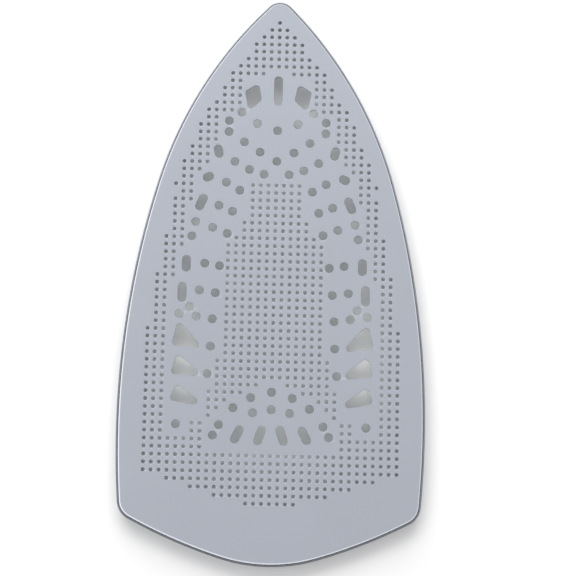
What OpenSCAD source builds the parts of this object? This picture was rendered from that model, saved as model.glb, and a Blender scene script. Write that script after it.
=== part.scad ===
// Slip-over shoe for a clothes iron: one pressed sheet tray that the iron's soleplate sits in.
// Its face is pierced with small perforations on a square lattice and with larger steam vents.
// It lies on the free edge of its rim, ironing face up, with its tip towards +Y.
// The origin is in the middle of its length and width, at the free edge of the rim.

/* [Outline] */
// Length over the rim, from the tip to the middle of the heel
length = 251; // [240:0.5:275]
// Width over the rim at its widest
width = 133.4; // [122:0.2:142]
// Distance of the widest place from the middle of the heel
widest_from_heel = 61.5; // [52:0.5:70]
// Outer radius of the tip
tip_r = 7; // [4.5:0.5:10]
// Radius of the curve behind the tip
front_r = 186; // [165:1:215]
// Radius of the flatter curve along the side
side_r = 395; // [340:5:480]
// Radius of the corner between the side and the heel
corner_r = 9; // [5:0.5:13]
// Radius of the curve beside the middle of the heel
flank_r = 230; // [180:5:300]
// Radius of the curve across the middle of the heel
heel_r = 72; // [60:1:85]
// Angle that the middle curve of the heel turns through on each side
heel_turn = 17; // [12:0.5:20]

/* [Sheet] */
// Thickness of the sheet
sheet = 1; // [0.6:0.1:1.4]
// Outer radius of the bend between the face and the rim
bend_r = 2; // [1.6:0.1:3]
// Height over all, from the free edge of the rim to the face
rim_h = 9; // [6:0.5:14]

/* [Perforations] */
// Diameter of a perforation
perforation_d = 1.6; // [0.8:0.1:2]
// Spacing of the perforations, the same along the rows and between them
pitch = 3.4; // [3:0.1:4]
// Distance of the first perforation from the tip
tip_margin = 10.2; // [9.5:0.1:14]
// Least distance of the perforations from the curve behind the tip
front_margin = 8.1; // [6:0.1:12]
// Least distance of the perforations from the curve along the side
side_margin = 9.9; // [6:0.1:14]
// Distance of the last row from the middle of the heel
heel_margin = 26.5; // [22:0.5:40]
// Distance from the middle of the heel of the point where the field's slanting ends would meet
slant_margin = 22.2; // [18:0.1:36]
// Slope of the field's ends along the heel
slant = 18; // [12:1:24]

/* [Steam vents] */
// Diameter of a round vent and width of a slot
vent_d = 3.8; // [3:0.1:4.6]
// Corner radius of the large vents, which have three or four corners
large_vent_r = 1.6; // [1:0.1:2]
// Least width of sheet between a vent and a perforation
land = 0.75; // [0.5:0.05:1.4]

/* [Hidden] */

tip_y = length / 2;
heel_y = -length / 2;
perforation_r = perforation_d / 2;
vent_r = vent_d / 2;

// Longest step between points on the outline and on the bend, as a length and as an angle
step_length = 6;
step_angle = 10;
bend_steps = 6;

// Direction measured from +Y towards +X, and the third corner of a triangle on a and b
function bearing(v) = atan2(v.x, v.y);
function towards(angle) = [sin(angle), cos(angle)];
function third_corner(a, from_a, b, from_b) =
    let (gap = norm(b - a),
         along = (from_a * from_a - from_b * from_b + gap * gap) / (2 * gap),
         e = (b - a) / gap)
    a + e * along + [-e.y, e.x] * sqrt(from_a * from_a - along * along);

// Half of the outline is a chain of arcs, each tangent to the next, from the tip round to the heel.
tip_c = [0, tip_y - tip_r];
side_c = [width / 2 - side_r, heel_y + widest_from_heel];
front_c = third_corner(tip_c, front_r - tip_r, side_c, side_r - front_r);
heel_c = [0, heel_y + heel_r];
flank_c = heel_c - (flank_r - heel_r) * towards(180 - heel_turn);
corner_c = third_corner(flank_c, flank_r - corner_r, side_c, side_r - corner_r);

tip_end = bearing(tip_c - front_c);
front_end = bearing(front_c - side_c);
side_end = bearing(corner_c - side_c);
corner_end = bearing(corner_c - flank_c);
flank_end = 180 - heel_turn;

// Each arc has its centre, its radius, and the bearings of its two ends as seen from its centre.
arcs = [
    [tip_c, tip_r, 0, tip_end],
    [front_c, front_r, tip_end, front_end],
    [side_c, side_r, front_end, side_end],
    [corner_c, corner_r, side_end, corner_end],
    [flank_c, flank_r, corner_end, flank_end],
    [heel_c, heel_r, flank_end, 180]
];

// Points on an arc moved inwards, and the half outline that they make
function arc_points(arc, inset) =
    let (r = arc[1] - inset,
         turn = arc[3] - arc[2],
         steps = ceil(max(turn / step_angle, arc[1] * turn * PI / 180 / step_length)))
    [for (i = [0:steps - 1]) arc[0] + r * towards(arc[2] + turn * i / steps)];

function outline(inset) =
    let (half = [for (arc = arcs) each arc_points(arc, inset)],
         heel = [0, heel_y + inset])
    concat(half, [heel], [for (i = [len(half) - 1:-1:1]) [-half[i].x, half[i].y]]);

// Side band of perforations: from each row on, counted from the tip, it starts at this column.
band_steps = [
    [0, 0], [7, 2], [8, 5], [12, 6], [13, 8], [17, 9], [20, 10],
    [21, 11], [25, 12], [31, 13], [35, 14], [55, 9], [57, 0]
];
// Middle panel of perforations: from each row on, it runs from the first column to the second.
panel_steps = [
    [22, 0, 3], [27, 0, 4], [29, 0, 5], [30, 0, 6], [45, 0, 7], [48, 2, 7],
    [49, 4, 8], [50, 6, 8], [51, 7, 8], [52, 8, 8], [53, 9, 10], [55, 9, 8]
];

// Round vents, as the distance from the centre line and the distance behind the tip
round_vents = [
    [9, 57], [0, 60], [16, 52], [21.5, 56], [21.5, 61], [14.5, 65.5], [7.5, 70],
    [0, 74], [18.5, 74.5], [12, 78], [5.5, 80], [22, 84], [16, 87.5], [25, 94.5],
    [19, 97], [35, 102], [27.5, 104.5], [21, 107], [36.5, 108.5], [30.5, 120.5], [24, 121.5],
    [32.5, 132.5], [25.5, 133.5], [36.5, 140], [41, 143], [33.5, 144], [26.5, 145],
    [27, 157], [28, 169], [0, 176.5], [9, 179], [0, 184], [16.5, 183.5], [8, 185.5],
    [22.5, 191], [25, 195.5], [41, 191]
];
// Slots, as the centres of their two round ends
slots = [
    [[0, 37], [0, 46.5]],
    [[26, 69], [25.5, 71]],
    [[30.5, 82], [29.5, 81.5]],
    [[32, 91.5], [33.5, 95]],
    [[38.5, 119], [38.5, 122.5]],
    [[40, 131], [40, 136]],
    [[4, 193], [5.5, 197.5]],
    [[13.5, 193], [15.5, 197]]
];
// Large vents, as the centres of their round corners, in order
large_vents = [
    [[10, 41], [9, 45.5], [12, 48.5], [13, 43]],
    [[40.5, 149], [33.5, 156.5], [42, 155.5]],
    [[40.5, 163], [33.5, 168.5], [42, 168]],
    [[40.5, 176], [33.5, 181], [42, 179.5]]
];
vents = [
    for (place = round_vents) [[place], vent_r],
    for (ends = slots) [ends, vent_r],
    for (corners = large_vents) [corners, large_vent_r]
];

// Place of a point on the shoe, from its distance behind the tip
function placed(p) = [p.x, tip_y - p.y];

// Distance of a point from the line between two others
function to_line(p, a, b) =
    let (along = a == b ? 0 : (p - a) * (b - a) / ((b - a) * (b - a)))
    norm(p - a - (b - a) * max(0, min(1, along)));

function to_vent(p, vent) =
    let (c = vent[0], n = len(c))
    min([for (i = [0:n - 1]) to_line(p, placed(c[i]), placed(c[(i + 1) % n]))]) - vent[1];

// Entry of a list of steps that holds for a row
function step_at(steps, row) = [for (s = steps) if (s[0] <= row) s][len([for (s = steps) if (s[0] <= row) s]) - 1];

function in_band(row, col) = col >= step_at(band_steps, row)[1];
function in_panel(row, col) =
    row >= panel_steps[0][0] && col >= step_at(panel_steps, row)[1] && col <= step_at(panel_steps, row)[2];

// Is a point far enough inside an arc of the outline, if it lies in that arc's sector?
function inside(p, arc, margin) =
    let (v = p - arc[0])
    bearing(v) < arc[2] || bearing(v) > arc[3] || norm(v) <= arc[1] - margin;

function in_field(p) =
    inside(p, arcs[1], front_margin)
    && inside(p, arcs[2], side_margin)
    && p.y - heel_y >= slant_margin + p.x * tan(slant);

function clear_of_vents(p) =
    min([for (vent = vents) to_vent(p, vent)]) >= perforation_r + land;

// Places of the perforations on the centre line and on the right of it
rows = floor((length - tip_margin - heel_margin) / pitch);
columns = floor(width / 2 / pitch);
perforations = [
    for (row = [0:rows], col = [0:columns])
        let (p = [col * pitch, tip_y - tip_margin - row * pitch])
        if ((in_band(row, col) || in_panel(row, col)) && in_field(p) && clear_of_vents(p)) p
];

// Outline of an opening with round ends or corners, from their centres in counterclockwise order
function rounded(corners, r) =
    let (n = len(corners))
    [for (i = [0:n - 1])
        let (from = bearing(corners[i] - corners[(i + n - 1) % n]) + 90,
             to = bearing(corners[(i + 1) % n] - corners[i]) + 90,
             turn = (from - to + 720) % 360,
             steps = ceil(turn / step_angle))
        for (k = [0:steps]) corners[i] + r * towards(from - turn * k / steps)];

// What is pierced on the centre line or, when apart is true, beside it
module piercings(apart) {
    for (p = perforations)
        if ((p.x > 0) == apart)
            translate(p) circle(perforation_r, $fn = 24);
    for (vent = vents)
        if ((vent[0][0].x > 0) == apart)
            if (len(vent[0]) == 1)
                translate(placed(vent[0][0])) circle(vent[1], $fn = 48);
            else
                polygon(rounded([for (c = vent[0]) placed(c)], vent[1]));
}

// Flat face with all its openings, up to where the bend starts
module plate() {
    translate([0, 0, rim_h - sheet])
        linear_extrude(sheet)
            difference() {
                polygon(outline(bend_r));
                piercings(false);
                piercings(true);
                mirror([1, 0]) piercings(true);
            }
}

// Section of the rim, as the distance inwards from the outline and the height
rim_section = concat(
    [[0, 0]],
    [for (i = [0:bend_steps])
        let (angle = 90 * i / bend_steps)
        [bend_r, rim_h - bend_r] + bend_r * [-cos(angle), sin(angle)]],
    [for (i = [bend_steps:-1:0])
        let (angle = 90 * i / bend_steps)
        [bend_r, rim_h - bend_r] + (bend_r - sheet) * [-cos(angle), sin(angle)]],
    [[sheet, 0]]
);

// Bend and upright edge, swept round the outline
module rim() {
    rings = [for (s = rim_section) [for (p = outline(s.x)) [p.x, p.y, s.y]]];
    n = len(rings);
    m = len(rings[0]);
    polyhedron(
        points = [for (ring = rings) each ring],
        faces = [
            for (j = [0:n - 1], i = [0:m - 1])
                let (next_j = (j + 1) % n, next_i = (i + 1) % m)
                [j * m + i, j * m + next_i, next_j * m + next_i, next_j * m + i]
        ]
    );
}

module iron_shoe() {
    color("#b4b9c0") {
        plate();
        rim();
    }
}

iron_shoe();
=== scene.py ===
"""Shoe for a clothes iron: one pressed and pierced sheet tray. It lies on its rim, ironing face up."""

import math

import bmesh
import bpy
from mathutils import Matrix, Vector
from mathutils.geometry import delaunay_2d_cdt


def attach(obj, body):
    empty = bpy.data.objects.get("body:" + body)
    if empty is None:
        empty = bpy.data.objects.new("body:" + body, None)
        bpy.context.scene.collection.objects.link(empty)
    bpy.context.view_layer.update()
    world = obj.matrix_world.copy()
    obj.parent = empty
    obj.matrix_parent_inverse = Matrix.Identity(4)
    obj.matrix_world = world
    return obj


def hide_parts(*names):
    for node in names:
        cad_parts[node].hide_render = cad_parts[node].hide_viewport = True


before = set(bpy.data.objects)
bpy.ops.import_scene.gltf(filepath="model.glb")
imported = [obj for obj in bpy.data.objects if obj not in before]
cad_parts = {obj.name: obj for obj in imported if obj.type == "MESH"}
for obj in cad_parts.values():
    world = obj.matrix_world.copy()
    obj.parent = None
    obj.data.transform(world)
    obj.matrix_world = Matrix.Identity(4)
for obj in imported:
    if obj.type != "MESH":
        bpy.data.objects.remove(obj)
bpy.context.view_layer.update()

MM = 0.001
NODE = "iron_shoe"

# The outline, the sheet and its rim, in mm, as in the CAD node
LENGTH = 251.0
WIDTH = 133.4
WIDEST_FROM_HEEL = 61.5
TIP_R = 7.0
FRONT_R = 186.0
SIDE_R = 395.0
CORNER_R = 9.0
FLANK_R = 230.0
HEEL_R = 72.0
HEEL_TURN = math.radians(17)
SHEET = 1.0
BEND_R = 2.0
RIM_H = 9.0
# Rounding of the rim's free edge, and of the pierced edges on the ironing face
FREE_EDGE_R = 0.2
PIERCED_EDGE_R = 0.12

# Longest steps round the outline, and the steps over the bend and round the free edge
STEP_LENGTH = 4.0
STEP_ANGLE = math.radians(7.5)
BEND_STEPS = 8
FREE_EDGE_STEPS = 3
# Sides of a perforation. Openings of a smaller radius than this are perforations.
PERFORATION_SIDES = 16
PERFORATION_MAX_R = 1.2
# Steps of a section that carry the coat: the bend and its wall, and the rounded edge of an opening
COATED_RIM_STEPS = BEND_STEPS + 1
COATED_OPENING_STEPS = 2
# Points of the CAD node's openings are dropped where the edge turns less than this
STRAIGHT = math.radians(2)
# Edges that turn more than this are shaded as sharp
SHARP = math.radians(60)
# Points closer than this are one point. Cutting and filling work ten times as finely.
TOUCH = 0.001
FINE_TOUCH = TOUCH / 10
# delaunay_2d_cdt's number for all triangles inside the outline
INSIDE_OUTLINE = 1


# ---- The pressed sheet ----

def arc(centre, radius, start, end, steps):
    """Points on an arc of a section, as (distance inwards from the outline, height)."""
    turns = [math.radians(start + (end - start) * i / steps) for i in range(steps + 1)]
    return [(centre[0] - radius * math.cos(a), centre[1] + radius * math.sin(a)) for a in turns]


def rim_section():
    """From the face's edge over the bend, down the wall, round the free edge and back up inside."""
    bend, r = (BEND_R, RIM_H - BEND_R), FREE_EDGE_R
    return (
        arc(bend, BEND_R, 90, 0, BEND_STEPS)
        + arc((r, r), r, 0, -90, FREE_EDGE_STEPS)
        + arc((SHEET - r, r), r, -90, -180, FREE_EDGE_STEPS)
        + arc(bend, BEND_R - SHEET, 0, 90, BEND_STEPS)
    )


def pierced_section():
    """From the face over the rounded edge of an opening and down its wall.

    Its points are (distance into the opening, height). Two steps make the rounding.
    """
    r = PIERCED_EDGE_R
    return [(-r, RIM_H), (-0.3 * r, RIM_H - 0.3 * r), (0, RIM_H - r), (0, RIM_H - SHEET)]


def loops_of(bm):
    """The closed loops that the edges of a bmesh make, each as its vertices in order."""
    loops, seen = [], set()
    for start in bm.verts:
        loop, ahead = [], [] if start in seen else [start]
        while ahead:
            loop.append(ahead[0])
            seen.add(ahead[0])
            ahead = [e.other_vert(loop[-1]) for e in loop[-1].link_edges]
            ahead = [v for v in ahead if v not in seen]
        if loop:
            loops.append(loop)
    return loops


def openings(node):
    """The points round each opening, where a level plane cuts the CAD node halfway through its face."""
    bm = bmesh.new()
    bm.from_mesh(node.data)
    bmesh.ops.scale(bm, vec=(1 / MM,) * 3, verts=bm.verts)
    bmesh.ops.remove_doubles(bm, verts=bm.verts, dist=TOUCH)
    bmesh.ops.bisect_plane(
        bm, geom=bm.verts[:] + bm.edges[:] + bm.faces[:], dist=FINE_TOUCH,
        plane_co=(0, 0, RIM_H - SHEET / 2), plane_no=(0, 0, 1), clear_inner=True, clear_outer=True,
    )
    bmesh.ops.dissolve_limit(bm, angle_limit=STRAIGHT, verts=bm.verts, edges=bm.edges)
    loops = [[Vector((v.co.x, v.co.y, RIM_H)) for v in loop] for loop in loops_of(bm)]
    bm.free()
    loops.sort(key=lambda loop: max(p.x for p in loop) - min(p.x for p in loop))
    # The widest loop is the outline itself.
    return loops[:-1]


def towards(bearing):
    """The level direction at a bearing, which is measured from the tip's direction towards the right."""
    return Vector((math.sin(bearing), math.cos(bearing), 0))


def bearing_of(v):
    return math.atan2(v.x, v.y)


def third_corner(a, from_a, b, from_b):
    """The third corner of a triangle on a and b, on the left going from a to b."""
    gap = (b - a).length
    along = (from_a ** 2 - from_b ** 2 + gap ** 2) / (2 * gap)
    ahead = (b - a) / gap
    return a + ahead * along + Vector((-ahead.y, ahead.x, 0)) * math.sqrt(from_a ** 2 - along ** 2)


def outline_arcs():
    """The tangent arcs from the tip to the heel: centre, and the bearing at which each ends."""
    tip = Vector((0, LENGTH / 2 - TIP_R, RIM_H))
    side = Vector((WIDTH / 2 - SIDE_R, WIDEST_FROM_HEEL - LENGTH / 2, RIM_H))
    front = third_corner(tip, FRONT_R - TIP_R, side, SIDE_R - FRONT_R)
    heel = Vector((0, HEEL_R - LENGTH / 2, RIM_H))
    flank = heel - (FLANK_R - HEEL_R) * towards(math.pi - HEEL_TURN)
    corner = third_corner(flank, FLANK_R - CORNER_R, side, SIDE_R - CORNER_R)
    return [
        (tip, bearing_of(tip - front)), (front, bearing_of(front - side)),
        (side, bearing_of(corner - side)), (corner, bearing_of(corner - flank)),
        (flank, math.pi - HEEL_TURN), (heel, math.pi),
    ]


def add_outline(bm, inwards):
    """The edge of the flat face: a vertex at the tip, spun round each arc's centre, then mirrored."""
    vert = bm.verts.new((0, LENGTH / 2 - BEND_R, RIM_H))
    bearing = 0
    for centre, end in outline_arcs():
        turn = end - bearing
        radius = (vert.co - centre).length
        steps = math.ceil(max(turn / STEP_ANGLE, radius * turn / STEP_LENGTH))
        before = set(bm.verts)
        spun = bmesh.ops.spin(bm, geom=[vert], cent=centre, axis=(0, 0, -1), angle=turn, steps=steps)
        for v in set(bm.verts) - before | {vert}:
            v[inwards] = (centre - v.co).normalized()
        vert = [g for g in spun["geom_last"] if isinstance(g, bmesh.types.BMVert)][0]
        bearing = end
    vert.co = (0, BEND_R - LENGTH / 2, RIM_H)
    half = set(bm.verts)
    bmesh.ops.mirror(bm, geom=bm.verts[:] + bm.edges[:], axis="X", merge_dist=TOUCH)
    for v in set(bm.verts) - half:
        v[inwards] = v[inwards] * Vector((-1, 1, 1))
    return bm.edges[:]


def add_opening(bm, inwards, loop, number, points):
    """The ring of edges round one opening, at the outer side of its rounded edge."""
    count = len(points)
    middle = sum(points, Vector()) / count
    radius = max((p - middle).length for p in points)
    if radius < PERFORATION_MAX_R:
        ring = bmesh.ops.create_circle(
            bm, segments=PERFORATION_SIDES, radius=radius, matrix=Matrix.Translation(middle))["verts"]
        for v in ring:
            v[inwards] = (middle - v.co).normalized()
        edges = list(dict.fromkeys(e for v in ring for e in v.link_edges))
    else:
        ring = [bm.verts.new(p) for p in points]
        edges = [bm.edges.new((a, b)) for a, b in zip(ring, ring[1:] + ring[:1])]
        for i, v in enumerate(ring):
            along = points[(i + 1) % count] - points[i - 1]
            across = Vector((-along.y, along.x, 0)).normalized()
            v[inwards] = across if across.dot(middle - v.co) > 0 else -across
    for v in ring:
        v.co -= PIERCED_EDGE_R * v[inwards]
        v[loop] = number
    return edges


def draw(bm, edges, section, inwards, coated_until):
    """Draws edges on along a section and returns the last ones. Only the first steps are coated."""
    for step, ((near, high), (far, low)) in enumerate(zip(section, section[1:])):
        drawn = bmesh.ops.extrude_edge_only(bm, edges=edges)["geom"]
        verts = {g for g in drawn if isinstance(g, bmesh.types.BMVert)}
        for v in verts:
            v.co += (far - near) * v[inwards] + Vector((0, 0, low - high))
        for face in drawn:
            if isinstance(face, bmesh.types.BMFace):
                face.material_index = 0 if step < coated_until else 1
        edges = [g for g in drawn if isinstance(g, bmesh.types.BMEdge) and set(g.verts) <= verts]
    return edges


def fill(bm, edges, loop, material):
    """Fills the outline with a flat face, round the openings."""
    verts = list(dict.fromkeys(v for e in edges for v in e.verts))
    number = {v: i for i, v in enumerate(verts)}
    flat = delaunay_2d_cdt(
        [v.co.xy for v in verts], [[number[v] for v in e.verts] for e in edges], [],
        INSIDE_OUTLINE, FINE_TOUCH)
    for face in flat[2]:
        corners = [verts[flat[3][i][0]] for i in face]
        # A triangle between the points of one opening lies in it, since all openings are convex.
        if len({v[loop] for v in corners}) > 1 or corners[0][loop] == 0:
            bm.faces.new(corners).material_index = material


def pressed_sheet(coat, bare):
    """The whole shoe, made in millimetres and brought to size at the end."""
    bm = bmesh.new()
    inwards = bm.verts.layers.float_vector.new("inwards")
    loop = bm.verts.layers.int.new("loop")
    outline = add_outline(bm, inwards)
    rings = []
    for number, points in enumerate(openings(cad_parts[NODE]), 1):
        rings += add_opening(bm, inwards, loop, number, points)
    fill(bm, outline + rings, loop, 0)
    rim_end = draw(bm, outline, rim_section(), inwards, COATED_RIM_STEPS)
    walls_end = draw(bm, rings, pierced_section(), inwards, COATED_OPENING_STEPS)
    fill(bm, rim_end + walls_end, loop, 1)
    bmesh.ops.recalc_face_normals(bm, faces=bm.faces)
    for face in bm.faces:
        face.smooth = True
    for edge in bm.edges:
        edge.smooth = edge.calc_face_angle(0) < SHARP
    bm.verts.layers.float_vector.remove(inwards)
    bm.verts.layers.int.remove(loop)
    bmesh.ops.scale(bm, vec=(MM,) * 3, verts=bm.verts)
    mesh = bpy.data.meshes.new("pressed_sheet")
    bm.to_mesh(mesh)
    bm.free()
    for finish in (coat, bare):
        mesh.materials.append(finish)
    piece = bpy.data.objects.new("pressed_sheet", mesh)
    bpy.context.scene.collection.objects.link(piece)
    level = piece.modifiers.new("level_face", "WEIGHTED_NORMAL")
    level.keep_sharp = True
    return piece


# ---- Finishes ----

class Wire:
    """A socket of a finish's nodes. Its sums and products add Math nodes."""

    def __init__(self, finish, socket):
        self.finish, self.socket = finish, socket

    def maths(self, operation, *values):
        return self.finish.node("ShaderNodeMath", {"operation": operation}, dict(enumerate(values)))

    def __add__(self, other):
        return self.maths("ADD", self, other)

    def __mul__(self, other):
        return self.maths("MULTIPLY", self, other)

    def __sub__(self, other):
        return self.maths("SUBTRACT", self, other)

    def __rsub__(self, other):
        return self.maths("SUBTRACT", other, self)

    __radd__, __rmul__ = __add__, __mul__


class Finish:
    """The nodes of a material or of the world, which end in one shader."""

    def __init__(self, block, shader="Principled BSDF", place="Object", **constants):
        block.use_nodes = True
        self.block = block
        self.tree = block.node_tree
        self.shader = self.tree.nodes[shader]
        self.place = self.node("ShaderNodeTexCoord", {}, {}, place)
        for socket, value in constants.items():
            self.shader.inputs[socket.replace("_", " ")].default_value = value

    def node(self, kind, settings, inputs, output=0):
        made = self.tree.nodes.new(kind)
        for name, value in settings.items():
            if name == "stops":
                self.set_stops(made.color_ramp.elements, value)
            else:
                setattr(made, name, value)
        for key, value in inputs.items():
            if isinstance(value, Wire):
                self.tree.links.new(value.socket, made.inputs[key])
            else:
                made.inputs[key].default_value = value
        return Wire(self, made.outputs[output])

    def set_stops(self, elements, stops):
        """Gives a ramp its stops, each a place and a grey level."""
        for element, (place, level) in zip(elements, (stops[0], stops[-1])):
            element.position, element.color = place, (level, level, level, 1)
        for place, level in stops[1:-1]:
            elements.new(place).color = (level, level, level, 1)

    def noise(self, size, detail, stretch=(1, 1, 1)):
        """Noise from 0 to 1 whose spots are about size across, in metres."""
        place = self.node("ShaderNodeVectorMath", {"operation": "MULTIPLY"}, {0: self.place, 1: stretch})
        return self.node("ShaderNodeTexNoise", {}, {"Vector": place, "Scale": 1 / size, "Detail": detail})

    def ruler(self, axis):
        """Distance from the origin along an axis, in mm."""
        return self.node("ShaderNodeSeparateXYZ", {}, {0: self.place}, axis) * (1 / MM)

    def rise(self, value, low, high):
        """Smoothly from 0 at low to 1 at high."""
        return self.node(
            "ShaderNodeMapRange", {"interpolation_type": "SMOOTHSTEP"},
            {"Value": value, "From Min": low, "From Max": high})

    def band(self, value, start, full, fading, end):
        """Smoothly from 0 at start to 1 at full, and from 1 at fading back to 0 at end."""
        return self.rise(value, start, full) * (1 - self.rise(value, fading, end))

    def mix(self, factor, a, b):
        """Colour a where factor is 0 and b where it is 1."""
        return self.node(
            "ShaderNodeMix", {"data_type": "RGBA"}, {"Factor": factor, 6: a, 7: b}, 2)

    def relief(self, height, depth):
        """Bump of that height field, depth in metres from 0 to 1."""
        bump = self.node("ShaderNodeBump", {}, {"Height": height, "Distance": depth, "Strength": 1.0})
        self.feed("Normal", bump)

    def feed(self, socket, wire):
        self.tree.links.new(wire.socket, self.shader.inputs[socket])


def nonstick_coat():
    """Pale blue-grey satin coating with metal flake, a little cloudy.

    It is burnished over the bend. A pale band along the bend's shoulder and round the edges of the holes
    is partly wear of the coat and partly a painted highlight. A dark line lower on the bend is painted
    shade, strongest at the heel and fading towards the tip. Depths below the face are in mm.
    """
    coat = Finish(bpy.data.materials.new("nonstick_coat"), IOR=1.45)
    cloud = coat.noise(28 * MM, 1.0)
    speck = coat.noise(0.4 * MM, 1.0)
    depth = RIM_H - coat.ruler("Z")
    burnished = coat.rise(depth, 0.03, 0.1)
    # Mask of a pale band on the bend's shoulder and round the holes: partly wear, partly a painted
    # highlight
    wear_and_highlight_band = coat.band(depth, 0.02, 0.08, 0.25, 0.5)
    # Mask of a painted shade line lower on the bend, where the dark outline and the heel's shadow fall
    painted_shade_band = coat.band(depth, 0.5, 0.85, 1.8, 2.2)
    towards_tip = coat.rise(coat.ruler("Y"), -60, 125)
    tint = coat.mix(cloud, (0.47, 0.506, 0.568, 1), (0.493, 0.521, 0.587, 1))
    flaked = coat.mix(speck * 0.08, tint, (0.57, 0.59, 0.64, 1))
    # Pale coat over that band: wear of the coat and a painted highlight line
    with_wear_and_highlight = coat.mix(wear_and_highlight_band * 0.8, flaked, (0.72, 0.75, 0.81, 1))
    # Near-black painted shade over that line, strongest at the heel and weaker towards the tip
    with_painted_shade = coat.mix(painted_shade_band * (0.9 - 0.8 * towards_tip), with_wear_and_highlight, (0.07, 0.075, 0.085, 1))
    coat.feed("Base Color", with_painted_shade)
    coat.feed("Metallic", 0.7 + 0.2 * burnished)
    coat.feed("Roughness", 0.24 + 0.04 * cloud - 0.06 * burnished)
    return coat.block


def bare_sheet():
    """Rolled aluminium as it leaves the press, uncoated inside the tray."""
    bare = Finish(bpy.data.materials.new("bare_sheet"), Metallic=1.0)
    rolled = bare.noise(0.4 * MM, 3.0, (1, 0.03, 1))
    cloud = bare.noise(20 * MM, 2.0)
    bare.feed("Base Color", bare.mix(cloud, (0.71, 0.765, 0.80, 1), (0.77, 0.82, 0.85, 1)))
    bare.feed("Roughness", 0.34 + 0.12 * rolled + 0.05 * cloud)
    bare.relief(rolled, 0.01 * MM)
    return bare.block


# ---- The studio ----

# Half the side of the square floor, in metres
FLOOR_HALF = 3.0
# Brightness of the tent, its share at the sine of each height above the horizon, and its change sideways
TENT_LIGHT = 1.37
TENT_LEVELS = (
    (0.0, 0.02), (0.45, 0.05), (0.6, 0.4), (0.68, 1.0), (0.78, 1.0),
    (0.85, 0.64), (0.95, 0.68), (0.98, 0.52), (1.0, 0.47),
)
TENT_SLOPE = 0.33
# The lamp, in metres and watts
LAMP_PLACE = (-0.18, 1.2, 0.9)
LAMP_TARGET = (0, 0, 0)
LAMP_SIZE = 1.6
LAMP_POWER = 27.5
# The camera: what it looks at and its lens and sensor, in mm, and its distance and clipping, in metres
CAMERA_TARGET = (6.12, -5.11, 9.0)
LENS = 105.4
SENSOR = 36.0
CAMERA_DISTANCE = 0.73616
CAMERA_AZIMUTH = math.radians(-5.374)
CAMERA_ELEVATION = math.radians(80.391)
CAMERA_ROLL = math.radians(6.692)
CAMERA_CLIP = (0.01, 20.0)


def white_floor():
    bm = bmesh.new()
    bmesh.ops.create_grid(bm, x_segments=1, y_segments=1, size=FLOOR_HALF)
    mesh = bpy.data.meshes.new("floor")
    bm.to_mesh(mesh)
    bm.free()
    # The paper glows faintly though it is no lamp: painted light that fills the floor under the tray and
    # the tray's inside
    glowing_paper = Finish(
        bpy.data.materials.new("white_paper"),
        Base_Color=(0.83, 0.83, 0.83, 1), Roughness=0.9, Specular_IOR_Level=0.1,
        Emission_Color=(1, 1, 1, 1), Emission_Strength=0.05)
    mesh.materials.append(glowing_paper.block)
    floor = bpy.data.objects.new("floor", mesh)
    bpy.context.scene.collection.objects.link(floor)


def soft_box(name, place, target, size, power):
    """A square area lamp at a place, facing a target and not seen in reflections."""
    lamp = bpy.data.lights.new(name, "AREA")
    lamp.size, lamp.energy = size, power
    box = bpy.data.objects.new(name, lamp)
    place, target = Vector(place), Vector(target)
    box.location = place
    box.rotation_euler = (target - place).to_track_quat("-Z", "Y").to_euler()
    box.visible_glossy = False
    bpy.context.scene.collection.objects.link(box)


def light_studio():
    """A white tent and one soft lamp beyond the tip.

    The tent is dark round the horizon, brightest halfway up and brighter on the left.
    """
    tent = Finish(bpy.data.worlds.new("tent"), "Background", "Generated", Strength=TENT_LIGHT)
    across, height = (tent.node("ShaderNodeSeparateXYZ", {}, {0: tent.place}, axis) for axis in "XZ")
    level = tent.node("ShaderNodeValToRGB", {"stops": TENT_LEVELS}, {"Fac": height})
    tent.feed("Color", level * (1 - TENT_SLOPE * across))
    bpy.context.scene.world = tent.block
    soft_box("key_box", LAMP_PLACE, LAMP_TARGET, LAMP_SIZE, LAMP_POWER)


def place_camera():
    """The photograph's view: from almost straight above the heel's edge, turned a little."""
    level_back = Vector((math.sin(CAMERA_AZIMUTH), -math.cos(CAMERA_AZIMUTH), 0))
    back = math.cos(CAMERA_ELEVATION) * level_back + Vector((0, 0, math.sin(CAMERA_ELEVATION)))
    level_right = Vector((math.cos(CAMERA_AZIMUTH), math.sin(CAMERA_AZIMUTH), 0))
    level_up = level_right.cross(-back)
    right = level_right * math.cos(CAMERA_ROLL) + level_up * math.sin(CAMERA_ROLL)
    up = level_up * math.cos(CAMERA_ROLL) - level_right * math.sin(CAMERA_ROLL)
    data = bpy.data.cameras.new("camera")
    data.sensor_width, data.lens = SENSOR, LENS
    data.clip_start, data.clip_end = CAMERA_CLIP
    camera = bpy.data.objects.new("camera", data)
    turn = Matrix((right, up, back)).transposed().to_4x4()
    place = Vector(CAMERA_TARGET) * MM + back * CAMERA_DISTANCE
    camera.matrix_world = Matrix.Translation(place) @ turn
    bpy.context.scene.collection.objects.link(camera)
    bpy.context.scene.camera = camera


shoe = pressed_sheet(nonstick_coat(), bare_sheet())
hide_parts(NODE)
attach(shoe, "root")
white_floor()
light_studio()
place_camera()
bpy.context.scene.view_settings.view_transform = "Standard"
